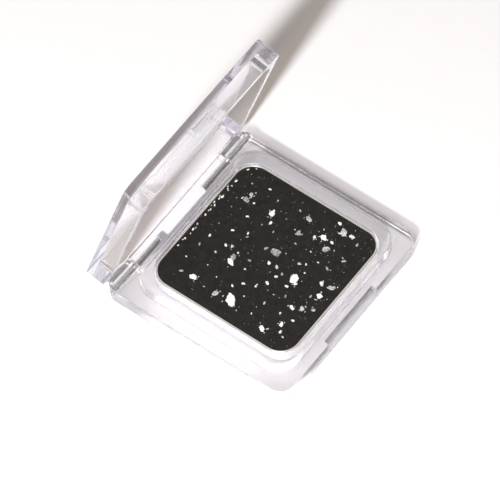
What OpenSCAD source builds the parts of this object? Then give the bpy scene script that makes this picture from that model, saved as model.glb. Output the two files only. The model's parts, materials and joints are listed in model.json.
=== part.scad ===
// Single square eyeshadow palette: a clear hinged compact with one pan of pressed powder.
// Millimetres. Origin at the centre of the base's underside, +Y to the hinge, +Z up.
// The lid is drawn standing open, as it is set down in use.

/* [Base] */
// Width of the base across the hinge
base_w = 37.4; // [34:0.1:60]
// Depth of the base from the thumb notch to the hinge
base_d = 37; // [36.6:0.1:60]
// Thickness of the flange that the lid closes on
flange_t = 3.1; // [2.6:0.1:4]
// Corner radius of the base seen from above
base_r = 2.7; // [1.5:0.1:4]
// Width of the thumb notch in the front edge
notch_w = 13; // [6:0.5:20]
// How far the thumb notch cuts in at its top
notch_cut = 1; // [0.4:0.1:1.2]

/* [Platform round the pan] */
// Flange left clear of the platform at the left and right
side_ledge = 2.4; // [2:0.1:4]
// Flange left clear of the platform at the front
front_ledge = 2; // [1.8:0.1:2.8]
// How far the platform stands above the pan's rim
platform_lip = 0.2; // [0.1:0.05:1]
// Corner radius of the platform
platform_r = 4.2; // [2:0.1:6]
// Plastic between the well and the hinge slot
rear_wall = 1.8; // [1:0.1:2.2]
// Plastic under the pan
floor_t = 1; // [0.6:0.1:1.5]

/* [Pan and powder] */
// Outer width of the pan
pan_w = 27.6; // [20:0.1:28]
// Outer depth of the pan
pan_d = 28.1; // [20:0.1:28.6]
// Outer height of the pan
pan_h = 3.9; // [2.5:0.1:6]
// Sheet thickness of the pan
pan_t = 0.3; // [0.2:0.05:0.5]
// Outer corner radius of the pan
pan_r = 3.6; // [1:0.1:6]
// How far the powder lies below the pan's rim
powder_drop = 0.15; // [0.1:0.05:1]
// Gap between the pan and its well
pan_gap = 0.15; // [0.05:0.05:0.4]
// Gap left between the powder and the pan's wall
powder_gap = 0.03; // [0.02:0.01:0.1]
// Width of the glue pad under the pan
glue_w = 20; // [8:0.5:22]
// Thickness of the glue pad
glue_t = 0.2; // [0.1:0.05:0.4]

/* [Flakes in the powder] */
// Thickness of a flake where it stands out of the powder
flake_t = 0.1; // [0.05:0.05:0.15]
// Fine flakes along each side of the pan
fine_rows = 8; // [4:1:10]
// Length of the smallest fine flake
fine_min = 0.25; // [0.2:0.05:0.4]
// Length of the largest fine flake
fine_max = 0.75; // [0.5:0.05:0.9]

/* [Label] */
// Width of the blank label under the base
label_w = 24; // [12:0.5:28]
// Corner radius of the label
label_r = 2; // [0.5:0.5:5]
// Thickness of the label and depth of its recess
label_t = 0.15; // [0.05:0.05:0.3]

/* [Hinge] */
// Diameter of the hinge pins
pin_d = 1; // [0.8:0.1:1.4]
// Length of each hinge pin
pin_len = 12; // [8:0.5:14]
// Depth of each pin's outer end in its ear
pin_inset = 0.6; // [0.2:0.1:1]
// Radius of the ears about the hinge axis
ear_r = 1.8; // [1.5:0.05:2.1]
// Width of each ear
ear_w = 6.15; // [4.5:0.05:8]
// How far the lid's knuckle stays above the table
knuckle_lift = 0.1; // [0.05:0.05:0.3]
// Gap between the knuckle and the base all round
knuckle_gap = 0.2; // [0.1:0.05:0.4]
// Radial clearance of a pin in the knuckle
pin_play = 0.05; // [0.02:0.01:0.1]
// Height of the pressed ridges on a pin's outer half
ridge_h = 0.04; // [0.02:0.01:0.06]
// Pitch of the pressed ridges
ridge_pitch = 0.75; // [0.5:0.05:1]

/* [Lid] */
// Room between the platform and the lid's panel when shut
head_room = 0.9; // [0.3:0.1:3]
// Thickness of the lid's clear panel
panel_t = 1.2; // [0.8:0.1:1.4]
// How far the lid stays inside the base's sides
side_inset = 0.6; // [0.2:0.1:0.8]
// How far the lid stays inside the base's front
front_inset = 0.4; // [0.2:0.1:0.8]
// How far the lid reaches behind the hinge axis
lid_tail = 2.4; // [2:0.1:2.4]
// Corner radius of the lid's corners
lid_r = 2.2; // [1:0.1:3.5]
// Gap between the lid's rim and the flange when shut
rim_gap = 0.1; // [0.05:0.05:0.3]
// Gap between the lid's wall and the platform when shut
wall_gap = 0.3; // [0.3:0.05:0.5]
// Height of the snap bead inside the lid's front wall
bead_h = 0.12; // [0.05:0.01:0.15]
// Length of the snap bead
bead_len = 8; // [4:0.5:14]
// Opening angle at which the lid stands
open_angle = 73; // [0:1:73]

/* [Hidden] */
$fn = 48;
eps = 0.01;

// hinge axis
axis_y = base_d / 2 - ear_r;
axis_z = ear_r;
ear_in = base_w / 2 - ear_w;
knuckle_r = ear_r - knuckle_lift;
slot_y = axis_y - knuckle_r - knuckle_gap;

// well, pan and powder
well_w = pan_w + 2 * pan_gap;
well_d = pan_d + 2 * pan_gap;
pan_y = slot_y - rear_wall - well_d / 2;
pan_z = floor_t + glue_t;
powder_z = pan_z + pan_h - powder_drop;

// platform
platform_top = pan_z + pan_h + platform_lip;
platform_w = base_w - 2 * side_ledge;
platform_front = -base_d / 2 + front_ledge;
platform_rear = slot_y - knuckle_gap;
platform_d = platform_rear - platform_front;
platform_y = (platform_rear + platform_front) / 2;

// lid, shut
rim_z = flange_t + rim_gap;
panel_z = platform_top + head_room;
lid_top = panel_z + panel_t;
lid_w = base_w - 2 * side_inset;
lid_front = -base_d / 2 + front_inset;
lid_rear = axis_y + lid_tail;
lid_d = lid_rear - lid_front;
lid_y = (lid_rear + lid_front) / 2;
cavity_w = platform_w + 2 * wall_gap;
cavity_front = platform_front - wall_gap;
cavity_rear = platform_rear + wall_gap;
cavity_d = cavity_rear - cavity_front;
cavity_y = (cavity_rear + cavity_front) / 2;
knuckle_w = 2 * (ear_in - knuckle_gap);
tail_z = axis_z + ear_r + knuckle_gap;
bead_z = rim_z + 0.6;

// The larger flakes: [x, y, length, width, turn], x and y as shares of the powder's half size
LARGE_FLAKES = [
    [-0.72, 0, 2.6, 1.5, 30], [-0.05, -0.44, 2.4, 1.4, 20], [0.12, -0.02, 1.8, 1.2, 60],
    [-0.23, 0.33, 1.5, 0.8, 10], [-0.31, 0.3, 1.4, 0.8, 80], [0.54, 0.32, 1.2, 0.9, 45],
    [-0.73, 0.57, 0.9, 0.8, 0], [-0.11, 0.43, 0.8, 0.5, 0], [0.63, -0.38, 1.5, 0.9, 70],
    [0.51, -0.5, 1.4, 1, 100], [0.82, -0.54, 1.7, 1.1, 50], [-0.07, -0.83, 1.3, 1, 20],
    [0.09, -0.74, 1, 0.7, 80], [0.11, -0.88, 1.4, 1, 110], [-0.33, -0.76, 1.2, 0.8, 40],
    [-0.27, -0.88, 0.8, 0.6, 0], [-0.39, -0.65, 1, 0.6, 60], [-0.65, -0.69, 1.1, 0.7, 30],
    [-0.83, -0.53, 1.2, 0.7, 50], [-0.76, 0.2, 1.2, 1, 20], [0.74, -0.09, 1.3, 0.8, 90],
    [0.51, -0.1, 1.1, 0.8, 30], [0.53, 0.69, 1.3, 0.8, 60], [0.62, 0.68, 1, 0.6, 20]];

function span(low, high, seed) = rands(low, high, 1, seed)[0];

// Rounded rectangle drawn with true arcs, centred
module plate(w, d, r) {
    square([w - 2 * r, d], center = true);
    square([w, d - 2 * r], center = true);
    for (x = [-1, 1], y = [-1, 1])
        translate([x * (w / 2 - r), y * (d / 2 - r)]) circle(r);
}

// Slab of a rounded rectangle centred at y, from z up by h
module slab(w, d, r, y, z, h) {
    translate([0, y, z]) linear_extrude(h) plate(w, d, r);
}

// Round bar along X on the hinge axis, from x1 to x2
module axis_bar(radius, x1, x2) {
    translate([x1, axis_y, axis_z]) rotate([0, 90, 0]) cylinder(r = radius, h = x2 - x1);
}

// Flange with round ears at the hinge end, before any cut
module base_blank() {
    intersection() {
        slab(base_w, base_d, base_r, 0, 0, max(platform_top, 2 * ear_r));
        union() {
            translate([-base_w / 2, -base_d / 2, 0])
                cube([base_w, base_d / 2 + axis_y, flange_t]);
            axis_bar(ear_r, -base_w / 2, base_w / 2);
        }
    }
    slab(platform_w, platform_d, platform_r, platform_y, 0, platform_top);
}

// Sloped cut in the front edge, deepest at the flange's top
module thumb_notch() {
    translate([notch_w / 2, -base_d / 2, 0]) rotate([0, -90, 0])
        linear_extrude(notch_w)
            polygon([[0, 0], [flange_t + eps, notch_cut], [flange_t + eps, -1], [0, -1]]);
}

module base_shell() {
    color([0.93, 0.94, 0.96, 0.4]) difference() {
        base_blank();
        slab(well_w, well_d, pan_r + pan_gap, pan_y, floor_t, platform_top);
        slab(label_w + 2 * pan_gap, label_w + 2 * pan_gap, label_r + pan_gap, pan_y, -eps,
             label_t + eps);
        translate([-ear_in, slot_y, -eps])
            cube([2 * ear_in, base_d, platform_top + 2 * eps]);
        axis_bar(pin_d / 2, -base_w, -ear_in + eps);
        axis_bar(pin_d / 2, ear_in - eps, base_w);
        thumb_notch();
        translate([-bead_len / 2 - knuckle_gap, platform_front, bead_z])
            rotate([0, 90, 0]) cylinder(r = bead_h, h = bead_len + 2 * knuckle_gap);
    }
}

module powder_pan() {
    color([0.78, 0.78, 0.79]) difference() {
        slab(pan_w, pan_d, pan_r, pan_y, pan_z, pan_h);
        slab(pan_w - 2 * pan_t, pan_d - 2 * pan_t, pan_r - pan_t, pan_y, pan_z + pan_t, pan_h);
    }
}

module pan_glue() {
    color([0.95, 0.94, 0.9]) slab(glue_w, glue_w, label_r, pan_y, floor_t, glue_t);
}

module powder_cake() {
    edge = pan_t + powder_gap;
    color([0.08, 0.075, 0.07])
        slab(pan_w - 2 * edge, pan_d - 2 * edge, pan_r - edge, pan_y, pan_z + pan_t,
             powder_z - pan_z - pan_t);
}

// One angular flake, its outline set by its seed
module flake(long, wide, seed) {
    corners = 7;
    linear_extrude(flake_t)
        polygon([for (i = [0:corners - 1])
            let (a = 360 * i / corners, k = span(0.7, 1, seed * corners + i))
            [k * long / 2 * cos(a), k * wide / 2 * sin(a)]]);
}

module silver_flakes() {
    half_w = pan_w / 2 - pan_t;
    half_d = pan_d / 2 - pan_t;
    reach_x = half_w - pan_r / 2;
    reach_y = half_d - pan_r / 2;
    step_x = 2 * reach_x / fine_rows;
    step_y = 2 * reach_y / fine_rows;
    color([0.86, 0.86, 0.84]) translate([0, pan_y, powder_z]) {
        for (i = [0:len(LARGE_FLAKES) - 1])
            let (f = LARGE_FLAKES[i])
            translate([f[0] * half_w, f[1] * half_d, 0]) rotate(f[4]) flake(f[2], f[3], i);
        for (i = [0:fine_rows - 1], j = [0:fine_rows - 1])
            let (n = 100 + i * fine_rows + j, long = span(fine_min, fine_max, n))
            translate([-reach_x + (i + span(0.25, 0.75, n + 200)) * step_x,
                       -reach_y + (j + span(0.25, 0.75, n + 400)) * step_y, 0])
                rotate(span(0, 180, n + 600)) flake(long, long * 0.6, n);
    }
}

module base_label() {
    color([0.94, 0.94, 0.93])
        slab(label_w, label_w, label_r, pan_y, 0, label_t);
}

// Pin from its outer end inwards along +Z, with ridges on the half that is pressed in
module hinge_pin() {
    r = pin_d / 2;
    ridges = floor((ear_w - pin_inset - ridge_pitch) / ridge_pitch);
    color([0.42, 0.41, 0.4]) rotate_extrude()
        polygon(concat([[0, 0], [r - ridge_h, 0]],
            [for (i = [0:ridges - 1]) for (p = [[r, 0.3], [r + ridge_h, 0.5], [r, 0.7]])
                [p[0], (i + p[1]) * ridge_pitch]],
            [[r, pin_len], [0, pin_len]]));
}

module hinge_pin_left() {
    translate([-base_w / 2 + pin_inset, axis_y, axis_z]) rotate([0, 90, 0]) hinge_pin();
}

module hinge_pin_right() {
    mirror([1, 0, 0]) hinge_pin_left();
}

// Room in the lid for one ear, open at the back so that the ear passes as the lid opens
module ear_room() {
    axis_bar(ear_r + knuckle_gap, knuckle_w / 2, base_w);
    translate([knuckle_w / 2, axis_y, 0]) cube([base_w, base_d, tail_z]);
}

// Lid shut: clear panel with a rim and a knuckle between the ears
module lid_shut() {
    bore_r = pin_d / 2 + pin_play;
    bore_end = base_w / 2 - pin_inset - pin_len - knuckle_gap;
    difference() {
        union() {
            slab(lid_w, lid_d, lid_r, lid_y, rim_z, lid_top - rim_z);
            axis_bar(knuckle_r, -knuckle_w / 2, knuckle_w / 2);
            translate([-knuckle_w / 2, axis_y - knuckle_r, axis_z])
                cube([knuckle_w, 2 * knuckle_r, rim_z - axis_z + eps]);
        }
        slab(cavity_w, cavity_d, platform_r + wall_gap, cavity_y, rim_z - eps,
             panel_z - rim_z + eps);
        ear_room();
        mirror([1, 0, 0]) ear_room();
        translate([-base_w / 2, axis_y + knuckle_r, 0]) cube([base_w, base_d, tail_z]);
        axis_bar(bore_r, -knuckle_w, -bore_end);
        axis_bar(bore_r, bore_end, knuckle_w);
    }
    translate([-bead_len / 2, cavity_front, bead_z])
        rotate([0, 90, 0]) cylinder(r = bead_h, h = bead_len);
}

module lid_shell() {
    color([0.93, 0.94, 0.96, 0.4])
        translate([0, axis_y, axis_z]) rotate([-open_angle, 0, 0])
            translate([0, -axis_y, -axis_z]) lid_shut();
}

base_shell();
powder_pan();
pan_glue();
powder_cake();
silver_flakes();
base_label();
hinge_pin_left();
hinge_pin_right();
lid_shell();
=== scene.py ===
# Single square eyeshadow palette, dressed around its packed solids.
# Metres throughout. Origin at the centre of the base's underside, +Y to the hinge, +Z up.

import json
import math
import random

import bmesh
import bpy
from bpy.props import BoolProperty, FloatProperty, FloatVectorProperty, IntProperty, PointerProperty
from bpy.types import Operator, Panel, PropertyGroup
from mathutils import Euler, Matrix, Vector, noise


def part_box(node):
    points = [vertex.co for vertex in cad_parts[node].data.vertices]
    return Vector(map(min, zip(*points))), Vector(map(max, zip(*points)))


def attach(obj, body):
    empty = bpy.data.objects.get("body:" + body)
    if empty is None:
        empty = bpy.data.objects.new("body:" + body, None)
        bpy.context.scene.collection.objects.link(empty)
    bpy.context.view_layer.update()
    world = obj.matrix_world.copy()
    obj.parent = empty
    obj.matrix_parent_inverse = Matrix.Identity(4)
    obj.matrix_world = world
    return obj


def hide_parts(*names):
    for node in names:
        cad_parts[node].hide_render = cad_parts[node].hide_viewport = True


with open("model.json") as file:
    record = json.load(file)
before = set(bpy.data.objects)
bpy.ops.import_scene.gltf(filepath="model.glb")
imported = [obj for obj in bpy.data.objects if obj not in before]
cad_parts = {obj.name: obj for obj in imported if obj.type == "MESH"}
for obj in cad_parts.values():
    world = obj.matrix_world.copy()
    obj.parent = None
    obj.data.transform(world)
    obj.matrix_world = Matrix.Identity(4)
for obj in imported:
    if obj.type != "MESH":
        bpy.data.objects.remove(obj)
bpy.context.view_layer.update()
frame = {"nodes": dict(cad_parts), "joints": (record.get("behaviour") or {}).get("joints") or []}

bl_info = {
    "name": "Square eyeshadow palette",
    "version": (1, 0, 0),
    "blender": (4, 5, 0),
    "location": "3D View > Sidebar > Palette",
    "description": "Clear hinged compact with one pan of pressed powder and pale flakes",
    "category": "Object",
}

# The hinge and the driving places, read from the frame
HINGE = frame["joints"][0]
AXIS = Vector(HINGE["pos_m"])
OPEN_ANGLE = -math.radians(HINGE["range_deg"][0])
BASE_LOW, BASE_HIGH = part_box("base_shell")
PAN_LOW, PAN_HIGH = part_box("powder_pan")
POWDER_LOW, POWDER_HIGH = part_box("powder_cake")
GLUE_LOW, GLUE_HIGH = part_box("pan_glue")
LABEL_LOW, LABEL_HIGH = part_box("base_label")
PIN_LOW, PIN_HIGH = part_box("hinge_pin_left")
BASE_WIDTH, BASE_DEPTH, _ = (b - a for a, b in zip(BASE_LOW, BASE_HIGH))
PAN_WIDTH, PAN_DEPTH, _ = (b - a for a, b in zip(PAN_LOW, PAN_HIGH))
POWDER_WIDTH, POWDER_DEPTH, _ = (b - a for a, b in zip(POWDER_LOW, POWDER_HIGH))
GLUE_WIDTH, GLUE_DEPTH, GLUE_THICK = (b - a for a, b in zip(GLUE_LOW, GLUE_HIGH))
LABEL_WIDTH, LABEL_DEPTH, _ = (b - a for a, b in zip(LABEL_LOW, LABEL_HIGH))
WELL_Y = (PAN_LOW.y + PAN_HIGH.y) / 2

# Meshes
MERGE_BEFORE_ROUNDING = 4e-5
MERGE_AFTER = 1e-6
CORNER_STEPS = 14  # of a slab's round corner
PIN_STEPS = 40  # round a pin and its bore
BEAD_STEPS = 24
PRESS_CLEARANCE = 0.000005  # between a pin's ridges and its bore
RIDGE = ((0.25, 0), (0.35, 0.75), (0.5, 1), (0.65, 0.75), (0.75, 0))  # along a pitch, height
UPWARD = 0.9  # least Z of the normal of a face on the powder's top
FINE_GRAIN = 2600  # bumps of the powder's top, per metre
BROAD_GRAIN = 260
FLOOR_SIZE = 3.0
FLOOR_DROP = 0.00003

# Light in the plastic
PLASTIC_IOR = 1.57
MOST_REFLECTIONS = 4  # of a ray inside the plastic
SIDE_START = 0.0008  # inside the widest point, where a side begins
SIDE_FULL = 0.0006
GRAZING = (0.75, 0.95)  # slant at which light starts and stops to bend
FOOT_FADE = 0.9  # share of the foot's height
EDGE_FADE = 0.7  # share of the dark line's width
RIM_DEPTH = 0.0013  # of the band along the pan's top edge that gets painted shade
RIM_FULL = 0.1  # share of that depth

# Lights: name, place, width, colour. The room's strength grows over a band of heights.
LIGHTS = (("key", (-0.398, -0.14, 0.398), 0.04, (1.0, 0.99, 0.98)),
          ("sky", (0.52, 0.45, 1.1), 1.4, (1.0, 0.98, 0.97)))
HORIZON_BAND = (0.05, 0.55)

# Flakes, the longest first
CHIPPED_FLAKES = 26  # bright ones that have chips beside them
BRIGHT_SHARE = 0.6  # of the others
BRIGHT_TONES = (0.7, 1.0)
DULL_TONE = 0.35
GREY_FLAKES = (1, 4, 5, 6, 8, 11, 12, 14, 16, 17, 19, 22, 23)
GREY_TONES = (0.22, 0.42)
LONG_FLAKE = 0.0013  # from here on the outline is finest
MIDDLE_FLAKE = 0.0006
NARROWEST = 0.45  # width against length
CROWN = 0.62  # width of a flake's top against its rim
CRUMB_WIDTH = 0.62  # against its length
CHIP_LENGTHS = (0.00012, 0.00034)
EDGE_CRUMB_LENGTHS = (0.00022, 0.0008)
CORNER_REACH = (0.0002, 0.0034)  # of edge crumbs from the hinge side, near the right corner
SIDE_REACH = (0.0002, 0.0008)  # elsewhere
EDGE_BAND = (0.00016, 0.0008)  # where edge crumbs lie, from the powder's edge
DUST_EDGE = 0.0003  # strip along the edge that stays free of dust
# Smaller flakes: x, y and length in millimetres, turn in degrees, tone
CRUMBS = ((8.5, -8.1, 0.7, 70, 0.9), (5.8, 2.3, 0.6, 10, 0.9), (-6.2, -1.0, 0.6, 110, 1.0),
          (-3.8, -4.1, 0.7, 60, 0.9), (-2.5, -7.1, 0.6, 100, 0.9), (-10.0, -11.4, 0.6, 0, 0.8),
          (-2.0, -4.6, 0.6, 120, 0.9), (-0.6, -2.1, 0.7, 50, 0.9), (12.2, -7.1, 0.7, 80, 0.9),
          (2.0, 4.1, 0.5, 0, 0.9), (-0.5, -3.6, 0.8, 40, 0.35), (2.2, -6.2, 0.7, 90, 0.4),
          (2.7, -7.2, 0.5, 30, 0.5), (6.7, -11.8, 0.8, 140, 0.3), (4.0, -10.5, 0.6, 70, 0.35),
          (-5.4, -3.0, 0.5, 10, 0.4), (11.3, -10.2, 1.0, 100, 0.5))


def number(name, description, default, **options):
    """A positive number that a user can change."""
    return FloatProperty(name=name, description=description, default=default, min=0, **options)


def length(name, description, default):
    """A size in metres that a user can change."""
    return number(name, description, default, precision=5, subtype="DISTANCE", unit="LENGTH")


def share(name, description, default):
    """A number from 0 to 1 that a user can change."""
    return number(name, description, default, max=1, subtype="FACTOR")


def angle(name, description, degrees):
    """An angle that a user can change."""
    return FloatProperty(name=name, description=description, default=math.radians(degrees),
                         subtype="ANGLE")


def colour(name, description, default):
    """A linear colour that a user can change."""
    return FloatVectorProperty(name=name, description=description, default=default, size=3,
                               min=0, max=1, subtype="COLOR")


class BaseSizes(PropertyGroup):
    """Sizes of the clear base."""
    flange_thick: length("Flange thickness", "Thickness of the flange under the lid's rim", 0.0031)
    corner_radius: length("Corner radius", "Corner radius of the base from above", 0.0027)
    side_ledge: length("Side ledge", "Flange clear of the platform at each side", 0.0024)
    front_ledge: length("Front ledge", "Flange clear of the platform at the front", 0.002)
    platform_radius: length("Platform radius", "Corner radius of the platform", 0.0042)
    well_radius: length("Well radius", "Corner radius of the pan's well", 0.00375)
    well_gap: length("Well gap", "Gap between the pan and its well", 0.00015)
    slot_y: length("Hinge slot", "Distance from the middle to the hinge slot", 0.0148)
    ear_radius: length("Ear radius", "Radius of the ears about the hinge", 0.0018)
    ear_width: length("Ear width", "Width of each ear", 0.00615)
    notch_width: length("Notch width", "Width of the thumb notch", 0.013)
    notch_depth: length("Notch depth", "How far the thumb notch cuts in at its top", 0.001)
    edge_round: length("Edge rounding", "Rounding of the moulded edges", 0.0002)


class LidSizes(PropertyGroup):
    """Sizes of the clear lid, as if shut."""
    panel_low: length("Panel underside", "Height of the panel's underside when shut", 0.0062)
    panel_top: length("Panel top", "Height of the panel's top when shut", 0.0074)
    rim_low: length("Rim", "Height of the rim's edge when shut", 0.0032)
    side_inset: length("Side inset", "How far the lid stays inside the base's sides", 0.0006)
    front_inset: length("Front inset", "How far the lid stays inside the base's front", 0.0004)
    tail: length("Tail", "How far the lid reaches behind the hinge", 0.0024)
    corner_radius: length("Corner radius", "Corner radius of the lid", 0.0022)
    wall_gap: length("Wall gap", "Gap between the lid's wall and the platform", 0.0003)
    knuckle_radius: length("Knuckle radius", "Radius of the knuckle about the hinge", 0.0017)
    knuckle_gap: length("Knuckle gap", "Gap between the knuckle and the base", 0.0002)
    pin_play: length("Pin play", "Radial clearance of a pin in the knuckle", 0.00005)
    bead_height: length("Bead height", "Height of the snap bead", 0.00012)
    bead_length: length("Bead length", "Length of the snap bead", 0.008)
    bead_lift: length("Bead lift", "Height of the bead above the rim's edge", 0.0006)
    edge_round: length("Edge rounding", "Rounding of the moulded edges", 0.00013)


class PinSizes(PropertyGroup):
    """Sizes of the steel hinge pins."""
    radius: length("Radius", "Radius of a pin between its ridges", 0.0005)
    ridge_height: length("Ridge height", "Height of the pressed ridges", 0.00004)
    ridge_pitch: length("Ridge pitch", "Pitch of the pressed ridges", 0.00075)
    end_round: length("End chamfer", "Chamfer at the ends of a pin", 0.0001)


class PanSizes(PropertyGroup):
    """Sizes of the metal pan, the powder and what holds them."""
    wall: length("Wall", "Sheet thickness of the pan", 0.0003)
    corner_radius: length("Corner radius", "Outer corner radius of the pan", 0.0036)
    foot_round: length("Foot rounding", "Rounding where the pan's wall meets its floor", 0.0005)
    rim_round: length("Rim rounding", "Rounding of the pan's rim", 0.00012)
    grain_height: length("Grain height", "Height of the powder's grain", 0.000018)
    cell: length("Cell", "Spacing of the points that shape the powder's top", 0.00024)
    slump: length("Slump", "How far the powder falls away along its edge", 0.00006)
    film_radius: length("Film radius", "Corner radius of the glue pad and the label", 0.002)


class FlakeSettings(PropertyGroup):
    """The pale flakes in the powder."""
    seed: IntProperty(name="Seed", description="Start of the random draws", default=7, min=0)
    dust: IntProperty(name="Dust", description="How many dust grains lie on the powder",
                      default=260, min=0)
    edge_crumbs: IntProperty(name="Edge crumbs", description="How many crumbs lie along the "
                             "hinge side of the powder", default=30, min=0)
    dust_small: length("Smallest grain", "Length of the smallest dust grain", 0.00005)
    dust_large: length("Largest grain", "Length of the largest dust grain", 0.0002)
    thick: length("Thickness", "Thickness of a flake", 0.00007)
    spread: number("Spread", "Reach of a torn flake against its plain solid", 1.3)


class Finishes(PropertyGroup):
    """Colours of the materials."""
    plastic: colour("Plastic", "Tint of light through a plastic face", (0.985, 0.983, 0.99))
    plastic_shadow: colour("Plastic shadow", "Light that a plastic face lets straight through",
                           (0.93, 0.92, 0.935))
    plastic_depth: colour("Plastic depth", "Colour that the plastic takes where it is thick",
                          (0.91, 0.9, 0.925))
    powder: colour("Powder", "Pressed powder", (0.0135, 0.0122, 0.0115))
    flake_pale: colour("Pale flake", "Flakes that face the light", (0.92, 0.89, 0.82))
    flake_grey: colour("Grey flake", "Flakes that lie deeper", (0.36, 0.37, 0.38))
    flake_thin: colour("Thin flake", "Flakes where the powder shows through", (0.09, 0.09, 0.09))
    tin: colour("Tin", "Metal of the pan", (0.93, 0.92, 0.92))
    # painted shade: darker colour for the band along the pan's top edge
    rim_painted_shade: colour("Bare rim", "Metal along the pan's rim", (0.55, 0.53, 0.485))
    steel: colour("Steel", "Metal of the pins", (0.34, 0.33, 0.31))
    glue: colour("Glue", "Pad under the pan", (0.86, 0.84, 0.78))
    label: colour("Label", "Blank film under the base", (0.86, 0.86, 0.85))
    floor: colour("Floor", "Pale table", (0.86, 0.85, 0.855))


def plastic_fields(shade, both_sides, side_height, density, foot, rough, direct, gathering,
                   edge_width, edge_light):
    """Settings of one plastic, with its defaults."""
    return {
        "shade": colour("Shade", "Light that goes straight on through a side or an end", shade),
        "both_sides": BoolProperty(name="Both sides", default=both_sides,
                                   description="The near side bends light away too"),
        "side_height": length("Side height", "Height at which the sides stop bending light away",
                              side_height),
        "density": number("Density", "How fast the plastic takes its colour in depth", density),
        "foot": length("Foot", "Height under which a face stands on the table", foot),
        "foot_roughness": share("Foot roughness", "Roughness of the faces on the table", rough),
        "foot_direct": share("Foot direct", "Direct light that goes on to the table", direct),
        "foot_gathering": number("Foot gathering", "How strongly the plastic gathers bounced "
                                 "light on the table under it", gathering),
        "edge_width": length("Edge width", "Width of the dark line along the foot's outer edges",
                             edge_width),
        "edge_light": share("Edge light", "Light that reaches the table along those edges",
                            edge_light)}


class BasePlastic(PropertyGroup):
    """How the base's plastic bends and gathers light."""
    __annotations__ = plastic_fields((0.12, 0.08, 0.05), False, 0.0036, 80.0, foot=0.00004,
                                     rough=0.5, direct=0.3, gathering=2.05, edge_width=0.0006,
                                     edge_light=0.15)


class LidPlastic(PropertyGroup):
    """How the lid's plastic bends and gathers light."""
    __annotations__ = plastic_fields((0.17, 0.115, 0.07), True, 10.0, 90.0, foot=0.0013,
                                     rough=0.0, direct=1.0, gathering=1.7, edge_width=0.0,
                                     edge_light=1.0)


class StageSettings(PropertyGroup):
    """Camera and lights."""
    lens: number("Lens", "Focal length in millimetres", 403.2)
    distance: length("Distance", "From the camera to the point that it looks at", 0.91728)
    azimuth: angle("Azimuth", "Camera's turn about the object", -49.64)
    elevation: angle("Elevation", "Camera's height above the table", 57.93)
    roll: angle("Roll", "Camera's turn about its own line of sight", -4.31)
    aim: FloatVectorProperty(name="Aim", description="Point at the middle of the view", size=3,
                             default=(0.00115, 0.00322, 0.00178), subtype="TRANSLATION")
    key_power: number("Key light", "Power of the key light in watts", 4.9)
    sky_power: number("Sky light", "Power of the overhead light in watts", 2.6)
    fill_strength: number("Fill", "Strength of the room's light on matt faces", 0.12)
    fill_colour: colour("Fill colour", "Colour of the room's light on matt faces",
                        (1.0, 0.92, 0.84))
    room_strength: number("Room", "Strength of the pale room in gloss and clear plastic", 1.0)
    horizon: share("Horizon", "Strength of the room at the horizon, against overhead", 0.15)
    room_colour: colour("Room colour", "Colour of the pale room in gloss and clear plastic",
                        (0.98, 0.985, 1.0))


# Mesh helpers

def moved(bm, vec):
    """Moves a whole bmesh."""
    bmesh.ops.translate(bm, vec=vec, verts=bm.verts[:])


def turned(bm, turn, axis, centre=(0, 0, 0)):
    """Turns a whole bmesh about a point."""
    bmesh.ops.rotate(bm, cent=centre, matrix=Matrix.Rotation(turn, 3, axis), verts=bm.verts[:])


def bevel(bm, geom, width, segments, affect="EDGES"):
    """Rounds edges or corners to one width."""
    bmesh.ops.bevel(bm, geom=geom, offset=width, offset_type="OFFSET", affect=affect,
                    segments=segments, profile=0.5, material=-1)


def faced_out(bm):
    """Turns every face of a closed bmesh outwards."""
    bmesh.ops.recalc_face_normals(bm, faces=bm.faces[:])
    return bm


def rounded_slab(width, depth, radius, middle_y, low, high):
    """Bmesh of an upright slab with round corners, centred across and at middle_y."""
    bm = bmesh.new()
    bmesh.ops.create_grid(bm, x_segments=1, y_segments=1, size=0.5)
    bmesh.ops.scale(bm, vec=(width, depth, 1), verts=bm.verts[:])
    bevel(bm, bm.verts[:], radius, CORNER_STEPS, affect="VERTICES")
    moved(bm, (0, middle_y, low))
    raised = bmesh.ops.extrude_face_region(bm, geom=bm.faces[:])["geom"]
    tops = [v for v in raised if isinstance(v, bmesh.types.BMVert)]
    bmesh.ops.translate(bm, vec=(0, 0, high - low), verts=tops)
    return faced_out(bm)


def block(low, high):
    """Bmesh of a box between two corners."""
    bm = bmesh.new()
    low, high = Vector(low), Vector(high)
    bmesh.ops.create_cube(bm, size=1)
    bmesh.ops.scale(bm, vec=high - low, verts=bm.verts[:])
    moved(bm, (low + high) / 2)
    return bm


def hinge_bar(radius, start, end, place=(AXIS.y, AXIS.z), steps=64):
    """Bmesh of a round bar along X, on the hinge unless place gives another Y and Z."""
    bm = bmesh.new()
    bmesh.ops.create_cone(bm, cap_ends=True, segments=steps, radius1=radius, radius2=radius,
                          depth=end - start)
    turned(bm, math.pi / 2, "Y")
    moved(bm, ((start + end) / 2, *place))
    return bm


def new_object(name, data):
    """Object in the scene that holds a mesh, a camera or a light."""
    made = bpy.data.objects.new(name, data)
    bpy.context.scene.collection.objects.link(made)
    return made


def mesh_object(name, bm):
    """Object in the scene with a bmesh's shape."""
    mesh = bpy.data.meshes.new(name)
    bm.to_mesh(mesh)
    bm.free()
    return new_object(name, mesh)


def cuts(*tools):
    """Boolean steps that take each bmesh away."""
    return [("DIFFERENCE", tool) for tool in tools]


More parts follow.
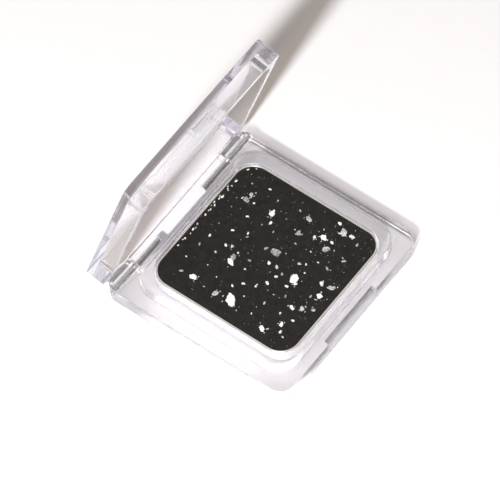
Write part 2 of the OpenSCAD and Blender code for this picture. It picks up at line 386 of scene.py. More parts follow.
def carved(body, *steps):
    """Bmesh of body after each (operation, bmesh) step, as Boolean solids."""
    blank = mesh_object("helper", body)
    tools = [mesh_object("helper", tool) for _, tool in steps]
    for (operation, _), tool in zip(steps, tools):
        step = blank.modifiers.new("step", "BOOLEAN")
        step.operation = operation
        step.solver = "MANIFOLD"
        step.object = tool
    result = bmesh.new()
    result.from_object(blank, bpy.context.evaluated_depsgraph_get())
    for used in [blank, *tools]:
        mesh = used.data
        bpy.data.objects.remove(used)
        bpy.data.meshes.remove(mesh)
    if not result.faces:
        raise RuntimeError("a Boolean step left nothing")
    return result


def tidy(bm, merge=MERGE_AFTER, flat=math.radians(0.4)):
    """Merges what touches and joins the faces that lie in one plane."""
    bmesh.ops.remove_doubles(bm, verts=bm.verts[:], dist=merge)
    bmesh.ops.dissolve_limit(bm, angle_limit=flat, verts=bm.verts[:], edges=bm.edges[:])
    return bm


def moulded(shell, width, sharp=math.radians(30)):
    """Rounds every sharp edge of a shell, as a mould leaves it."""
    tidy(shell, MERGE_BEFORE_ROUNDING)
    edges = [e for e in shell.edges if len(e.link_faces) == 2 and e.calc_face_angle(0) > sharp]
    bevel(shell, edges, width, 3)
    return tidy(shell)


def mirrored(bm):
    """Copy of a bmesh, mirrored left to right, with its faces outwards."""
    other = bm.copy()
    bmesh.ops.scale(other, vec=(-1, 1, 1), verts=other.verts[:])
    bmesh.ops.reverse_faces(other, faces=other.faces[:])
    return other


def add_piece(name, bm, material, body, nodes=(), sharp=32, even=False):
    """Makes a piece of the palette from a bmesh, hangs it on its body and hides the frame parts
    that it replaces.
    """
    piece = mesh_object(name, bm)
    piece.data.materials.append(material)
    piece.data.shade_smooth()
    piece.data.set_sharp_from_angle(angle=math.radians(sharp))
    if even:
        shading = piece.modifiers.new("even_shading", "WEIGHTED_NORMAL")
        shading.keep_sharp = True
    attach(piece, body)
    if nodes:
        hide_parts(*nodes)


def settings(context, *names):
    """The scene's setting groups of these names."""
    return [getattr(context.scene, "palette_" + name) for name in names]


# Material helpers

def add_node(tree, kind, inputs=None, **options):
    """Adds a shader node, sets or links its inputs, and hands back its outputs."""
    made = tree.nodes.new("ShaderNode" + kind)
    for name, value in options.items():
        setattr(made, name, value)
    for name, value in (inputs or {}).items():
        socket = made.inputs[name]
        if isinstance(value, bpy.types.NodeSocket):
            tree.links.new(value, socket)
        else:
            socket.default_value = (*value, 1.0) if socket.type == "RGBA" else value
    return made.outputs


def mixed(tree, factor, first, second):
    """Colour between two colours."""
    return add_node(tree, "Mix", {0: factor, 6: first, 7: second}, data_type="RGBA")[2]


def between(tree, factor, first, second):
    """Number between two numbers."""
    return add_node(tree, "Mix", {0: factor, 2: first, 3: second})[0]


def ramp(tree, value, low, high, start=0.0, end=1.0):
    """Number from start to end while another goes from low to high."""
    return add_node(tree, "MapRange", {0: value, 1: low, 2: high, 3: start, 4: end})[0]


def worked(tree, operation, *values, **options):
    """Result of a Math node."""
    return add_node(tree, "Math", dict(enumerate(values)), operation=operation, **options)[0]


def either(tree, test, first, second):
    """Second shader where a test is true, and the first elsewhere."""
    return add_node(tree, "MixShader", {0: test, 1: first, 2: second})[0]


def see_through(tree, rgb):
    """Transparent shader."""
    return add_node(tree, "BsdfTransparent", {"Color": rgb})[0]


def noise_of(tree, where, scale, detail, **others):
    """Noise from 0 to 1."""
    inputs = {"Vector": where, "Scale": scale, "Detail": detail, **others}
    return add_node(tree, "TexNoise", inputs)["Fac"]


def bump(tree, height, distance, strength):
    """Normal from a height."""
    inputs = {"Strength": strength, "Distance": distance, "Height": height}
    return add_node(tree, "Bump", inputs)["Normal"]


def shared_group(name, numbers, outputs, build):
    """Node group with a vector and some numbers as inputs, built once by its own function."""
    found = bpy.data.node_groups.get(name)
    if found:
        return found
    tree = bpy.data.node_groups.new(name, "ShaderNodeTree")
    tree.interface.new_socket("Vector", in_out="INPUT", socket_type="NodeSocketVector")
    for label, default in numbers.items():
        socket = tree.interface.new_socket(label, in_out="INPUT", socket_type="NodeSocketFloat")
        socket.default_value = default
    for label in outputs:
        tree.interface.new_socket(label, in_out="OUTPUT", socket_type="NodeSocketFloat")
    given = tree.nodes.new("NodeGroupInput").outputs
    target = tree.nodes.new("NodeGroupOutput").inputs
    for label, socket in zip(outputs, build(tree, given)):
        tree.links.new(socket, target[label])
    return tree


def build_grain(tree, given):
    """Two sizes of grain: a mask from 0 to 1, and a height for a Bump node."""
    fine = noise_of(tree, given["Vector"], given["Scale"], 4.0, Roughness=0.6)
    wide = worked(tree, "MULTIPLY", given["Scale"], 0.22)
    both = between(tree, 0.35, fine, noise_of(tree, given["Vector"], wide, 2.0))
    centred = worked(tree, "SUBTRACT", both, 0.5)
    stretched = worked(tree, "MULTIPLY", centred, given["Contrast"])
    return worked(tree, "ADD", stretched, 0.5, use_clamp=True), both


def grained(tree, where, scale, contrast):
    """Outputs of the grain: Mask and Height."""
    group = shared_group("grain", {"Scale": 4000.0, "Contrast": 0.5}, ("Mask", "Height"),
                         build_grain)
    return add_node(tree, "Group", {"Vector": where, "Scale": scale, "Contrast": contrast},
                    node_tree=group)


def build_handling(tree, given):
    """Faint finger marks and hairlines: a roughness and a height."""
    marks = noise_of(tree, given["Vector"], 170.0, 3.0, Roughness=0.55, Distortion=0.6)
    worn = between(tree, ramp(tree, marks, 0.52, 0.74), given["Smooth"], given["Worn"])
    stretch = add_node(tree, "Mapping", {"Vector": given["Vector"], "Scale": (1.0, 14.0, 9.0),
                                         "Rotation": (0.3, 0.2, 0.7)})
    return worn, noise_of(tree, stretch["Vector"], 420.0, 1.0)


def handled(tree, where, smooth, worn):
    """Outputs of the handling marks: Roughness and Height."""
    group = shared_group("handling", {"Smooth": 0.02, "Worn": 0.08}, ("Roughness", "Height"),
                         build_handling)
    return add_node(tree, "Group", {"Vector": where, "Smooth": smooth, "Worn": worn},
                    node_tree=group)


def new_material(name):
    """Empty node material. Returns it with its tree and its Object coordinates."""
    material = bpy.data.materials.new(name)
    material.use_nodes = True
    tree = material.node_tree
    tree.nodes.clear()
    return material, tree, add_node(tree, "TexCoord")["Object"]


def cover(tree, inputs):
    """Ends a material in one Principled shader."""
    shader = add_node(tree, "BsdfPrincipled", inputs)[0]
    add_node(tree, "OutputMaterial", {"Surface": shader})


def clear_plastic(name, finish, kind):
    """Polished clear moulded plastic, matt where it stands on a table.

    Its shadow is clear, but dark where a side bends the light away, and the plastic gathers
    bounced light on the table under it. A ray that keeps reflecting inside goes straight on.
    """
    material, tree, where = new_material(name)
    across = add_node(tree, "SeparateXYZ", {0: where})
    marks = handled(tree, where, 0.0, 0.015)
    under = ramp(tree, across["Z"], kind.foot, FOOT_FADE * kind.foot)
    rough = between(tree, under, marks["Roughness"], kind.foot_roughness)
    glass = add_node(tree, "BsdfPrincipled",
                     {"Base Color": finish.plastic, "Transmission Weight": 1.0,
                      "IOR": PLASTIC_IOR, "Roughness": rough,
                      "Normal": bump(tree, marks["Height"], 0.0000002, 0.25)})[0]
    path = add_node(tree, "LightPath")
    many = worked(tree, "GREATER_THAN", path["Glossy Depth"], MOST_REFLECTIONS - 0.5)
    late = either(tree, many, glass, see_through(tree, finish.plastic_shadow))
    seen = either(tree, path["Is Reflection Ray"], glass, late)
    shade = see_through(tree, bent_light(tree, finish, kind, across, under))
    lamps = either(tree, path["Is Shadow Ray"], seen, shade)
    gathered = mixed(tree, under, finish.plastic_shadow, [kind.foot_gathering] * 3)
    gather = see_through(tree, edge_line(tree, kind, across, under, gathered))
    bounces = either(tree, path["Is Diffuse Ray"], lamps, gather)
    depth = add_node(tree, "VolumeAbsorption",
                     {"Color": finish.plastic_depth, "Density": kind.density})[0]
    add_node(tree, "OutputMaterial", {"Surface": bounces, "Volume": depth})
    return material


def bent_light(tree, finish, kind, across, under):
    """Colour of the light that goes on in a straight line: less at a side or at a slant."""
    near_side = 1.0 if kind.both_sides else 0.0
    entry = worked(tree, "MULTIPLY", across["X"], -near_side)
    offset = worked(tree, "MAXIMUM", across["X"], entry)
    side = ramp(tree, offset, BASE_WIDTH / 2 - SIDE_START, BASE_WIDTH / 2 - SIDE_FULL)
    low = ramp(tree, across["Z"], kind.side_height, 0.0)
    slant = add_node(tree, "LayerWeight", {"Blend": 0.5})["Facing"]
    bent = worked(tree, "MAXIMUM", worked(tree, "MULTIPLY", side, low),
                  ramp(tree, slant, *GRAZING))
    cast = mixed(tree, bent, finish.plastic_shadow, kind.shade)
    dimmed = mixed(tree, under, cast, [kind.foot_direct] * 3)
    return edge_line(tree, kind, across, under, dimmed)


def edge_line(tree, kind, across, under, colour):
    """Colour with a dark line along the foot's outer edges, where a side bends light away."""
    if not kind.edge_width:
        return colour
    ways = []
    for axis, reach in (("X", BASE_WIDTH / 2), ("Y", BASE_DEPTH / 2)):
        way = worked(tree, "ABSOLUTE", across[axis])
        ways.append(ramp(tree, way, reach - kind.edge_width, reach - EDGE_FADE * kind.edge_width))
    line = worked(tree, "MULTIPLY", worked(tree, "MAXIMUM", *ways), under)
    return mixed(tree, line, colour, [kind.edge_light] * 3)


def pressed_powder(finish):
    """Near-black pressed powder with fine grain and a few pale specks."""
    material, tree, where = new_material("pressed_powder")
    grain = grained(tree, where, 5200.0, 2.4)
    body = mixed(tree, grain["Mask"], [c * 0.55 for c in finish.powder],
                 [c * 1.9 for c in finish.powder])
    specks = add_node(tree, "TexVoronoi", {"Vector": where, "Scale": 3300.0})
    near = ramp(tree, specks["Distance"], 0.24, 0.12)
    rare = add_node(tree, "SeparateColor", {"Color": specks["Color"]})["Red"]
    speck = worked(tree, "MULTIPLY", near, ramp(tree, rare, 0.955, 0.99))
    cover(tree, {"Base Color": mixed(tree, speck, body, finish.flake_grey), "Roughness": 0.85,
                 "Specular IOR Level": 0.12,
                 "Normal": bump(tree, grain["Height"], 0.00002, 0.7)})
    return material


def pearl_flake(finish):
    """Pale pearly flakes, some cream and some grey, that let the powder show where thin."""
    material, tree, where = new_material("pearl_flake")
    tone = add_node(tree, "Attribute", attribute_name="tone")["Fac"]
    grain = grained(tree, where, 4200.0, 2.6)
    uneven = worked(tree, "SUBTRACT", grain["Mask"], 0.5)
    lively = worked(tree, "MULTIPLY_ADD", uneven, 0.9, tone, use_clamp=True)
    skin = mixed(tree, ramp(tree, lively, 0.05, 0.35), finish.flake_thin, finish.flake_grey)
    skin = mixed(tree, ramp(tree, lively, 0.35, 0.7), skin, finish.flake_pale)
    cover(tree, {"Base Color": skin, "Roughness": 0.35, "Coat Weight": 0.3,
                 "Normal": bump(tree, grain["Height"], 0.00004, 0.6)})
    return material


def worn_metal(name, rgb, smooth, worn, stretch, rim=None):
    """Metal with drawn hairlines along one direction and a little handling wear.

    With a rim colour it is bright plated sheet, with that darker colour painted along its top edge
    as shade.
    """
    material, tree, where = new_material(name)
    marks = handled(tree, where, smooth, worn)
    drawn = add_node(tree, "Mapping", {"Vector": where, "Scale": stretch})["Vector"]
    lines = noise_of(tree, drawn, 900.0, 3.0)
    skin = mixed(tree, lines, [c * 0.82 for c in rgb], [min(1, c * 1.12) for c in rgb])
    metallic = 1.0
    if rim:
        # painted shade: a band along the pan's top edge takes the darker rim colour
        height = add_node(tree, "SeparateXYZ", {0: where})["Z"]
        edge = ramp(tree, height, PAN_HIGH.z - RIM_DEPTH, PAN_HIGH.z - RIM_FULL * RIM_DEPTH)
        skin = mixed(tree, edge, skin, rim)
        metallic = ramp(tree, edge, 0.0, 1.0, 0.5, 1.0)
    cover(tree, {"Base Color": skin, "Metallic": metallic, "Roughness": marks["Roughness"],
                 "Normal": bump(tree, lines, 0.00001, 0.5)})
    return material


def matte_film(name, rgb, scale, roughness, depth):
    """Matte paper, glue or table with a fine grain."""
    material, tree, where = new_material(name)
    grain = grained(tree, where, scale, 1.0)
    tint = mixed(tree, grain["Mask"], [c * 0.97 for c in rgb], [min(1, c * 1.02) for c in rgb])
    cover(tree, {"Base Color": tint, "Roughness": roughness, "Specular IOR Level": 0.3,
                 "Normal": bump(tree, grain["Height"], depth, 0.4)})
    return material


# Pieces

def snap_bead(lid, spare, y):
    """Bmesh of the snap bead inside the lid's front wall, or of the groove that takes it."""
    half = lid.bead_length / 2 + spare
    return hinge_bar(lid.bead_height, -half, half, (y, lid.rim_low + lid.bead_lift), BEAD_STEPS)


class PALETTE_OT_clear_base(Operator):
    """Clear base: flange, platform round the well, ears and thumb notch"""
    bl_idname = "palette.clear_base"
    bl_label = "Clear base"

    def execute(self, context):
        size, lid, pin, pan = settings(context, "base", "lid", "pin", "pan")
        finish, kind = settings(context, "finish", "base_plastic")
        far = BASE_WIDTH
        front = -BASE_DEPTH / 2
        top = BASE_HIGH.z
        platform_rear = size.slot_y - lid.knuckle_gap
        platform_front = front + size.front_ledge
        ear_inner = BASE_WIDTH / 2 - size.ear_width
        flange = block((-far, front, 0), (far, AXIS.y, size.flange_thick))
        outline = rounded_slab(BASE_WIDTH, BASE_DEPTH, size.corner_radius, 0, 0, top)
        platform = rounded_slab(BASE_WIDTH - 2 * size.side_ledge, platform_rear - platform_front,
                                size.platform_radius, (platform_rear + platform_front) / 2, 0, top)
        slot = block((-ear_inner, size.slot_y, -far), (ear_inner, far, far))
        well = rounded_slab(PAN_WIDTH + 2 * size.well_gap, PAN_DEPTH + 2 * size.well_gap,
                            size.well_radius, WELL_Y, GLUE_LOW.z, 2 * top)
        notch = block((-size.notch_width / 2, front - far, -far),
                      (size.notch_width / 2, front, far))
        turned(notch, -math.atan2(size.notch_depth, size.flange_thick), "X", (0, front, 0))
        shell = carved(flange, ("UNION", hinge_bar(size.ear_radius, -far / 2, far / 2)),
                       ("INTERSECT", outline), ("UNION", platform), *cuts(slot, well, notch))
        moulded(shell, size.edge_round)
        margin = (LABEL_LOW.z + LABEL_HIGH.z) / 10
        recess = rounded_slab(LABEL_WIDTH + 2 * size.well_gap, LABEL_DEPTH + 2 * size.well_gap,
                              pan.film_radius + size.well_gap, WELL_Y, -margin,
                              LABEL_HIGH.z + margin)
        bore = hinge_bar(pin.radius + pin.ridge_height + PRESS_CLEARANCE, -far,
                         margin - ear_inner, steps=PIN_STEPS)
        groove = snap_bead(lid, lid.knuckle_gap, platform_front)
        shell = carved(shell, *cuts(recess, bore, mirrored(bore), groove))
        add_piece("clear_base", tidy(shell), clear_plastic("clear_base_plastic", finish, kind),
                  "base", ["base_shell"], even=True)
        return {"FINISHED"}


class PALETTE_OT_clear_lid(Operator):
    """Clear lid: panel, rim and knuckle, standing open on the hinge"""
    bl_idname = "palette.clear_lid"
    bl_label = "Clear lid"

    def execute(self, context):
        size, base, pin = settings(context, "lid", "base", "pin")
        finish, kind = settings(context, "finish", "lid_plastic")
        far = BASE_WIDTH
        front = -BASE_DEPTH / 2 + size.front_inset
        rear = AXIS.y + size.tail
        cavity_front = -BASE_DEPTH / 2 + base.front_ledge - size.wall_gap
        cavity_rear = base.slot_y - size.knuckle_gap + size.wall_gap
        half = BASE_WIDTH / 2 - base.ear_width - size.knuckle_gap
        ear_room = base.ear_radius + size.knuckle_gap
        tail_low = AXIS.z + ear_room
        body = rounded_slab(BASE_WIDTH - 2 * size.side_inset, rear - front, size.corner_radius,
                            (front + rear) / 2, size.rim_low, size.panel_top)
        cavity = rounded_slab(BASE_WIDTH - 2 * base.side_ledge + 2 * size.wall_gap,
                              cavity_rear - cavity_front, base.platform_radius + size.wall_gap,
                              (cavity_front + cavity_rear) / 2, 0, size.panel_low)
        knuckle = hinge_bar(size.knuckle_radius, -half, half)
        neck = block((-half, AXIS.y - size.knuckle_radius, AXIS.z),
                     (half, AXIS.y + size.knuckle_radius, size.rim_low + size.wall_gap))
        room = hinge_bar(ear_room, half, far)
        behind = block((half, AXIS.y, -far), (far, far, tail_low))
        under = block((-far, AXIS.y + size.knuckle_radius, -far), (far, far, tail_low))
        shell = carved(body, ("UNION", knuckle), ("UNION", neck),
                       *cuts(cavity, mirrored(room), room, mirrored(behind), behind, under))
        moulded(shell, size.edge_round)
        bore = hinge_bar(pin.radius + size.pin_play, -far, PIN_HIGH.x + size.knuckle_gap,
                         steps=PIN_STEPS)
        shell = carved(shell, *cuts(mirrored(bore), bore),
                       ("UNION", snap_bead(size, 0, cavity_front)))
        turned(shell, -OPEN_ANGLE, "X", AXIS)
        add_piece("clear_lid", tidy(shell), clear_plastic("clear_lid_plastic", finish, kind),
                  "lid", ["lid_shell"], even=True)
        return {"FINISHED"}


class PALETTE_OT_hinge_pins(Operator):
    """Steel hinge pins with pressed ridges on their outer halves"""
    bl_idname = "palette.hinge_pins"
    bl_label = "Hinge pins"

    def execute(self, context):
        size, base, finish = settings(context, "pin", "base", "finish")
        steel = worn_metal("drawn_steel", finish.steel, 0.16, 0.34, (0.08, 1.0, 1.0))
        end = PIN_HIGH.x - PIN_LOW.x
        inset = PIN_LOW.x - BASE_LOW.x
        ridges = math.floor((base.ear_width - inset - size.ridge_pitch) / size.ridge_pitch)
        profile = [(0, 0), (0, size.radius - size.end_round), (size.end_round, size.radius)]
        for i in range(ridges):
            profile += [((i + along) * size.ridge_pitch, size.radius + rise * size.ridge_height)
                        for along, rise in RIDGE]
        profile += [(end - size.end_round, size.radius), (end, size.radius - size.end_round),
                    (end, 0)]
        bm = bmesh.new()
        points = [bm.verts.new((x, r, 0)) for x, r in profile]
        edges = [bm.edges.new(pair) for pair in zip(points, points[1:])]
        bmesh.ops.spin(bm, geom=points + edges, axis=(1, 0, 0), cent=(0, 0, 0),
                       angle=2 * math.pi, steps=PIN_STEPS, use_merge=True)
        bmesh.ops.remove_doubles(bm, verts=bm.verts[:], dist=MERGE_AFTER / 10)
        moved(faced_out(bm), (PIN_LOW.x, AXIS.y, AXIS.z))
        other = mirrored(bm)
        add_piece("ribbed_pin_left", bm, steel, "base", ["hinge_pin_left"])
        add_piece("ribbed_pin_right", other, steel, "base", ["hinge_pin_right"])
        return {"FINISHED"}


class PALETTE_OT_pan(Operator):
    """Thin metal pan with a rounded rim and foot"""
    bl_idname = "palette.pan"
    bl_label = "Pan"

    def execute(self, context):
        size, finish = settings(context, "pan", "finish")
        # the rim colour is painted shade along the pan's top edge
        tin = worn_metal("bright_tin", finish.tin, 0.3, 0.45, (1.0, 1.0, 0.1), finish.rim_painted_shade)
        bm = rounded_slab(PAN_WIDTH, PAN_DEPTH, size.corner_radius, WELL_Y, PAN_LOW.z, PAN_HIGH.z)
        top = max(bm.faces, key=lambda f: f.calc_center_median().z)
        foot = min(bm.faces, key=lambda f: f.calc_center_median().z)
        bmesh.ops.inset_region(bm, faces=[top], thickness=size.wall, use_even_offset=True)
        inner = bmesh.ops.extrude_discrete_faces(bm, faces=[top])["faces"][0]
        bmesh.ops.translate(bm, vec=(0, 0, PAN_LOW.z + size.wall - PAN_HIGH.z),
                            verts=inner.verts[:])
        bevel(bm, foot.edges[:], size.foot_round, 4)
        rim = [e for e in bm.edges if all(v.co.z > PAN_HIGH.z - MERGE_AFTER for v in e.verts)
               and e.calc_face_angle(0) > math.radians(60)]
        bevel(bm, rim, size.rim_round, 3)
        add_piece("pan_tray", faced_out(bm), tin, "base", ["powder_pan"], even=True)
        return {"FINISHED"}


class PALETTE_OT_powder(Operator):
    """Pressed powder with a grainy top that falls away along its edge"""
    bl_idname = "palette.powder"
    bl_label = "Powder"

    def execute(self, context):
        size, finish = settings(context, "pan", "finish")
        radius = powder_radius(size)
        bm = rounded_slab(POWDER_WIDTH, POWDER_DEPTH, radius, WELL_Y, POWDER_LOW.z, POWDER_HIGH.z)
        for axis, low, reach in ((Vector((1, 0, 0)), POWDER_LOW.x, POWDER_WIDTH),
                                 (Vector((0, 1, 0)), POWDER_LOW.y, POWDER_DEPTH)):
            cells = round(reach / size.cell)
            for i in range(1, cells):
                top = [f for f in bm.faces if f.normal.z > UPWARD]
                sides = {v for f in top for v in f.verts} | {e for f in top for e in f.edges}
                bmesh.ops.bisect_plane(bm, geom=list(sides) + top, plane_no=axis,
                                       plane_co=axis * (low + reach * i / cells))
        lift_powder(bm, size, radius)
        add_piece("powder_bed", faced_out(bm), pressed_powder(finish), "base",
                  ["powder_cake"])
        return {"FINISHED"}


def powder_radius(pan):
    """Corner radius of the powder, which lies a wall's thickness inside the pan."""
    return pan.corner_radius - (PAN_HIGH.x - POWDER_HIGH.x)


def edge_distance(x, y, radius):
    """Distance from a point on the powder to its edge."""
    across = max(abs(x) - (POWDER_WIDTH / 2 - radius), 0)
    along = max(abs(y - WELL_Y) - (POWDER_DEPTH / 2 - radius), 0)
    if across or along:
        return radius - math.hypot(across, along)
    return min(POWDER_WIDTH / 2 - abs(x), POWDER_DEPTH / 2 - abs(y - WELL_Y))


def lift_powder(bm, size, radius):
    """Gives the powder's top its grain, and drops it along the edge."""
    for v in {v for f in bm.faces if f.normal.z > UPWARD for v in f.verts}:
        near = max(0.0, 1 - edge_distance(v.co.x, v.co.y, radius) / (4 * size.cell))
        rough = noise.fractal(v.co * FINE_GRAIN, 1.0, 2.0, 3)
        broad = noise.noise(v.co * BROAD_GRAIN)
        drop = size.grain_height * (0.6 - 0.5 * rough - 0.4 * broad)
        v.co.z -= max(0.0, drop) + size.slump * near * near


class PALETTE_OT_flakes(Operator):
    """Pale flakes pressed into the powder, each where its solid lies, and dust between them"""
    bl_idname = "palette.flakes"
    bl_label = "Flakes"

    def execute(self, context):
        setting, pan, finish = settings(context, "flakes", "pan", "finish")
        pearl = pearl_flake(finish)
        draw = random.Random(setting.seed)
        places = flake_places()
        heap = new_heap(draw)
        for i, (centre, long, wide, turn) in enumerate(places):
            bright = DULL_TONE
            if i < CHIPPED_FLAKES or draw.random() < BRIGHT_SHARE:
                bright = draw.uniform(*BRIGHT_TONES)
            if i in GREY_FLAKES:
                bright = draw.uniform(*GREY_TONES)
            size = (long * setting.spread, wide * setting.spread)
            add_flake(heap, centre.xy, size, turn, setting.thick, bright)
        add_piece("pearl_flakes", heap[0], pearl, "base", ["silver_flakes"], sharp=20)
        heap = new_heap(draw)
        for x, y, long, turn, bright in CRUMBS:
            long *= setting.spread / 1000
            add_flake(heap, (x / 1000, y / 1000), (long, CRUMB_WIDTH * long),
                      math.radians(turn), setting.thick, bright)
        for centre, long, _, _ in places[:CHIPPED_FLAKES]:
            add_chips(heap, centre, long, setting.thick)
        add_edge_crumbs(heap, setting, powder_radius(pan))
        add_dust(heap, setting, powder_radius(pan))
        add_piece("pearl_crumbs", heap[0], pearl, "base", sharp=20)
        return {"FINISHED"}


def flake_places():
    """Centre, length, width and turn of each flake solid in the frame."""
    bm = bmesh.new()
    bm.from_mesh(frame["nodes"]["silver_flakes"].data)
    bmesh.ops.remove_doubles(bm, verts=bm.verts[:], dist=MERGE_AFTER)
    left = set(bm.verts)
    places = []
    while left:
        island, todo = set(), [min(left, key=lambda v: v.index)]
        while todo:
            v = todo.pop()
            if v not in island:
                island.add(v)
                todo += [e.other_vert(v) for e in v.link_edges]
        left -= island
        points = [Vector((v.co.x, v.co.y, 0)) for v in sorted(island, key=lambda v: v.index)]
        centre = sum(points, Vector()) / len(points)
        tip = max(points, key=lambda p: (p - centre).length)
        along = (tip - centre).normalized()
        across = Vector((-along.y, along.x, 0))
        reach = [abs((p - centre).dot(across)) for p in points]
        places.append((centre, 2 * (tip - centre).length, 2 * max(reach),
                       math.atan2(along.y, along.x)))
    bm.free()
    return sorted(places, key=lambda p: (-round(p[1], 6), round(p[0].x, 6), round(p[0].y, 6)))


def new_heap(draw):
    """An empty bmesh for flakes, its layer of tones, and the random draws that shape them."""
    bm = bmesh.new()
    return bm, bm.faces.layers.float.new("tone"), draw


def set_tone(tone, verts, bright):
    """Gives the faces round some vertices their tone."""
    for f in {f for v in verts for f in v.link_faces}:
        f[tone] = bright


def torn_outline(draw, corners, steps):
    """Points of a torn outline, about one unit across."""
    bends = []
    for i in range(corners):
        turn = (i + draw.uniform(-0.3, 0.3)) * math.tau / corners
        reach = draw.uniform(0.6, 1.0) / 2
        bends.append(Vector((math.cos(turn), math.sin(turn), 0)) * reach)
    points = []
    for start, end in zip(bends, bends[1:] + bends[:1]):
        for i in range(steps):
            points.append(start.lerp(end, i / steps) * draw.uniform(0.86, 1.08))
    reach = max(p.length for p in points)
    return [p * 0.5 / reach for p in points]


def add_flake(heap, centre, size, turn, thick, bright):
    """Adds one crumpled flake with a torn rim, lying in the powder."""
    bm, tone, draw = heap
    long, wide = size
    steps = 2 + (long > LONG_FLAKE) + (long > MIDDLE_FLAKE)
    outline = torn_outline(draw, 5 + 2 * (steps - 2), steps)
    rim = bmesh.ops.create_circle(bm, cap_ends=True, radius=0.5, segments=len(outline))["verts"]
    wide = max(wide, NARROWEST * long)
    shape = Matrix.Rotation(turn, 4, "Z") @ Matrix.Diagonal((long, wide, 1, 1))
    for v, point in zip(rim, outline):
        v.co = shape @ point
    solid = bmesh.ops.extrude_face_region(bm, geom=[rim[0].link_faces[0]])["geom"]
    top = next(f for f in solid if isinstance(f, bmesh.types.BMFace))
    for v in top.verts:
        v.co.z += thick * draw.uniform(0.6, 1.0)
    verts = set(rim) | set(top.verts)
    crown = bmesh.ops.extrude_discrete_faces(bm, faces=[top])["faces"][0]
    for v in crown.verts:
        v.co.x *= CROWN
        v.co.y *= CROWN
        v.co.z = thick * draw.uniform(0.75, 1.3)
    verts |= set(crown.verts)
    for v in bmesh.ops.poke(bm, faces=[crown])["verts"]:
        v.co.z = thick * draw.uniform(0.7, 1.2)
        verts.add(v)
    set_tone(tone, verts, bright)
    bmesh.ops.translate(bm, vec=(*centre, POWDER_HIGH.z - 0.25 * thick), verts=list(verts))


def add_chips(heap, centre, long, thick):
    """Adds a few small chips that broke off one flake."""
    draw = heap[2]
    for _ in range(draw.randint(2, 4)):
        way = draw.uniform(0, math.tau)
        away = long * draw.uniform(0.5, 0.85)
        size = draw.uniform(*CHIP_LENGTHS)
        where = (centre.x + math.cos(way) * away, centre.y + math.sin(way) * away)
        add_flake(heap, where, (size, size * draw.uniform(0.5, 0.9)), draw.uniform(0, math.pi),
                  0.6 * thick, draw.uniform(0.3, 1.0))


def add_edge_crumbs(heap, setting, radius):
    """Adds long crumbs along the hinge side of the powder, most of them to the right."""
    draw = heap[2]
    half = POWDER_WIDTH / 2
    made = 0
    while made < setting.edge_crumbs:
        x = half * (1 - 1.5 * draw.random() ** 1.4)
        corner = draw.uniform(*CORNER_REACH)
        side = draw.uniform(*SIDE_REACH)
        y = POWDER_HIGH.y - (corner if x > 0.7 * half else side)
        size = draw.uniform(*EDGE_CRUMB_LENGTHS)
        if not EDGE_BAND[0] < edge_distance(x, y, radius) < EDGE_BAND[1]:
            continue
        turn = draw.uniform(-0.5, 0.5) - (0.8 if x > 0.75 * half else 0)
        add_flake(heap, (x, y), (size, NARROWEST * size), turn, setting.thick,
                  draw.uniform(0.5, 1.0))
        made += 1


def add_dust(heap, setting, radius):
    """Scatters dust grains over the powder, thicker to the front and right."""
    bm, tone, draw = heap
    half_x = POWDER_WIDTH / 2
    half_y = POWDER_DEPTH / 2
    made = 0
    while made < setting.dust:
        x = draw.uniform(-half_x, half_x)
        y = WELL_Y + draw.uniform(-half_y, half_y)
        chance = 0.35 + 0.35 * x / half_x - 0.3 * (y - WELL_Y) / half_y
        if edge_distance(x, y, radius) < DUST_EDGE or draw.random() > chance:
            continue
        long = setting.dust_small + (setting.dust_large - setting.dust_small) * draw.random() ** 3
        grain = bmesh.ops.create_icosphere(bm, subdivisions=1, radius=0.5)["verts"]
        shape = (Matrix.Translation((x, y, POWDER_HIGH.z)) @
                 Matrix.Rotation(draw.uniform(0, math.pi), 4, "Z") @
                 Matrix.Diagonal((long, long * draw.uniform(0.5, 0.9), 0.4 * long, 1)))
        for v in grain:
            v.co = shape @ (v.co * draw.uniform(0.8, 1.0))
        set_tone(tone, grain, draw.uniform(0.1, 0.9))
        made += 1


class PALETTE_OT_hidden_films(Operator):
    """Glue pad squeezed flat under the pan, and the blank label under the base"""
    bl_idname = "palette.hidden_films"
    bl_label = "Glue and label"

    def execute(self, context):
        size, finish = settings(context, "pan", "finish")
        glue = rounded_slab(GLUE_WIDTH, GLUE_DEPTH, size.film_radius, WELL_Y,
                            GLUE_LOW.z + GLUE_THICK / 20, GLUE_HIGH.z - GLUE_THICK / 20)
        upright = [e for e in glue.edges
                   if abs(e.verts[0].co.z - e.verts[1].co.z) > GLUE_THICK / 2]
        waist = bmesh.ops.subdivide_edges(glue, edges=upright, cuts=1, use_grid_fill=False)
        for v in set(glue.verts).difference(waist["geom_inner"]):
            outward = Vector((v.co.x, v.co.y - WELL_Y, 0)).normalized()
            v.co -= outward * GLUE_THICK * (0.6 + 0.5 * noise.noise(v.co * 900))
        add_piece("glue_pad", glue, matte_film("set_glue", finish.glue, 1500, 0.45, 0.00002),
                  "base", ["pan_glue"])
        label = frame["nodes"]["base_label"]
        label.data.materials.clear()
        label.data.materials.append(matte_film("label_film", finish.label, 2400, 0.55, 0.000008))
        return {"FINISHED"}


class PALETTE_OT_stage(Operator):
    """Pale floor, soft lights and the camera"""
    bl_idname = "palette.stage"
    bl_label = "Stage"

    def execute(self, context):
        size, finish = settings(context, "stage", "finish")
        bm = bmesh.new()
        bmesh.ops.create_grid(bm, x_segments=1, y_segments=1, size=FLOOR_SIZE)
        moved(bm, (0, 0, -FLOOR_DROP))
        floor = mesh_object("floor", bm)
        floor.data.materials.append(matte_film("pale_floor", finish.floor, 900, 0.6, 0.00001))
        add_camera(context, size)
        for name, where, width, rgb in LIGHTS:
            add_light(name + "_light", where, width, getattr(size, name + "_power"), rgb)
        context.scene.world = pale_room(size)
        context.scene.view_settings.view_transform = "Standard"
        return {"FINISHED"}


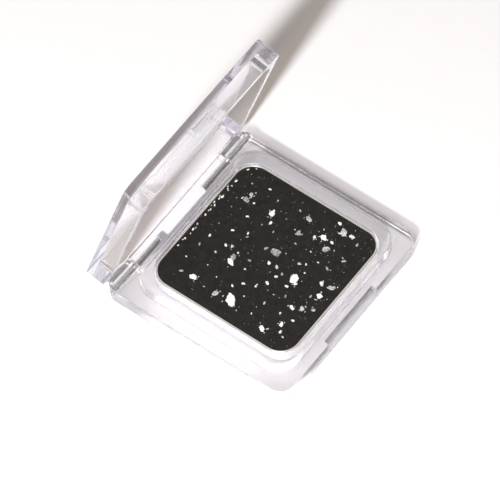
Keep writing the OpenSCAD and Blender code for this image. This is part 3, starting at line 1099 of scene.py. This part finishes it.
def add_camera(context, size):
    """Camera that looks at the aim point from a turn, a height and a distance."""
    flat = math.cos(size.elevation)
    back = Vector((math.sin(size.azimuth) * flat, -math.cos(size.azimuth) * flat,
                   math.sin(size.elevation)))
    data = bpy.data.cameras.new("camera")
    data.lens = size.lens
    data.sensor_width = 36
    data.clip_start = 0.01
    data.clip_end = 20
    camera = new_object("camera", data)
    camera.rotation_mode = "QUATERNION"
    level = (-back).to_track_quat("-Z", "Y")
    camera.rotation_quaternion = level @ Euler((0, 0, size.roll)).to_quaternion()
    camera.location = Vector(size.aim) + back * size.distance
    context.scene.camera = camera


def add_light(name, where, width, power, rgb):
    """Square area light that faces the palette."""
    data = bpy.data.lights.new(name, "AREA")
    data.shape = "SQUARE"
    data.size = width
    data.energy = power
    data.color = rgb
    light = new_object(name, data)
    light.location = where
    light.rotation_euler = (-Vector(where)).to_track_quat("-Z", "Y").to_euler()


def pale_room(size):
    """Dim warm room for matt faces that shows pale in gloss and clear plastic."""
    world = bpy.data.worlds.new("room")
    world.use_nodes = True
    tree = world.node_tree
    matt = add_node(tree, "LightPath")["Is Diffuse Ray"]
    level = ramp(tree, matt, 0.0, 1.0, size.room_strength, size.fill_strength)
    way = add_node(tree, "TexCoord")["Generated"]
    height = add_node(tree, "SeparateXYZ", {0: way})["Z"]
    ceiling = ramp(tree, height, *HORIZON_BAND, size.horizon, 1.0)
    strength = worked(tree, "MULTIPLY", level, between(tree, matt, ceiling, 1.0))
    light = tree.nodes["Background"].inputs
    tree.links.new(mixed(tree, matt, size.room_colour, size.fill_colour), light["Color"])
    tree.links.new(strength, light["Strength"])
    return world


class PALETTE_PT_panel(Panel):
    """Lists the palette's pieces in the sidebar"""
    bl_idname = "PALETTE_PT_panel"
    bl_label = "Eyeshadow palette"
    bl_space_type = "VIEW_3D"
    bl_region_type = "UI"
    bl_category = "Palette"

    def draw(self, context):
        for piece in PIECES:
            self.layout.operator(piece.bl_idname)
        for name, group in SETTINGS.items():
            box = self.layout.box()
            box.label(text=group.__doc__)
            for field in group.__annotations__:
                box.prop(getattr(context.scene, name), field)


PIECES = (PALETTE_OT_clear_base, PALETTE_OT_clear_lid, PALETTE_OT_hinge_pins, PALETTE_OT_pan,
          PALETTE_OT_powder, PALETTE_OT_flakes, PALETTE_OT_hidden_films, PALETTE_OT_stage)
SETTINGS = {"palette_base": BaseSizes, "palette_lid": LidSizes, "palette_pin": PinSizes,
            "palette_pan": PanSizes, "palette_flakes": FlakeSettings,
            "palette_finish": Finishes, "palette_base_plastic": BasePlastic,
            "palette_lid_plastic": LidPlastic, "palette_stage": StageSettings}


def register():
    """Registers the settings, the operators and the panel."""
    for group in SETTINGS.values():
        bpy.utils.register_class(group)
    for piece in (*PIECES, PALETTE_PT_panel):
        bpy.utils.register_class(piece)
    for name, group in SETTINGS.items():
        setattr(bpy.types.Scene, name, PointerProperty(type=group))


def unregister():
    """Removes what register added."""
    for name in SETTINGS:
        delattr(bpy.types.Scene, name)
    for piece in (PALETTE_PT_panel, *reversed(PIECES)):
        bpy.utils.unregister_class(piece)
    for group in SETTINGS.values():
        bpy.utils.unregister_class(group)


def main():
    """Builds the palette and its stage."""
    register()
    for piece in PIECES:
        group, name = piece.bl_idname.split(".")
        getattr(getattr(bpy.ops, group), name)()


if __name__ == "__main__":
    main()
